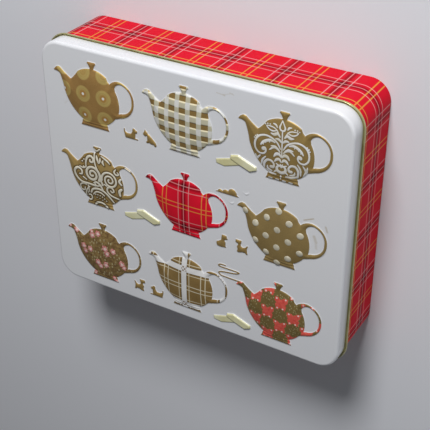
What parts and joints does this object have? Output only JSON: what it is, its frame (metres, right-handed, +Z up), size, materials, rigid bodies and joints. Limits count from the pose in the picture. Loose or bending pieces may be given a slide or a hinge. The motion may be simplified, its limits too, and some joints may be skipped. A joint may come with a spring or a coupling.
{
  "type": "cookie tin",
  "caption": "Rounded rectangular sheet-metal tin with a lift-off slip lid, curled rims, plaid walls and a lid embossed with teapots and small figures.",
  "frame": {"origin": "centre of the footprint, on the surface the tin stands on", "axes": "+X along the long side, +Y along the short side towards the tops of the lid's teapots, +Z up out of the lid"},
  "size_m": [0.24, 0.2, 0.0604],
  "materials": {
    "printed_wall": "glossy printed plaid over tinplate",
    "bare_base": "clear-lacquered tinplate",
    "printed_lid": "satin off-white enamel with gold and red print"
  },
  "bodies": {
    "tin": {"body_wall": "printed_wall", "base_panel": "bare_base"},
    "lid": {"lid": "printed_lid"}
  },
  "joints": [
    {"name": "lid_lift", "type": "slide", "parent": "tin", "child": "lid", "axis": [0, 0, 1], "range_m": [0, 0.12]}
  ]
}
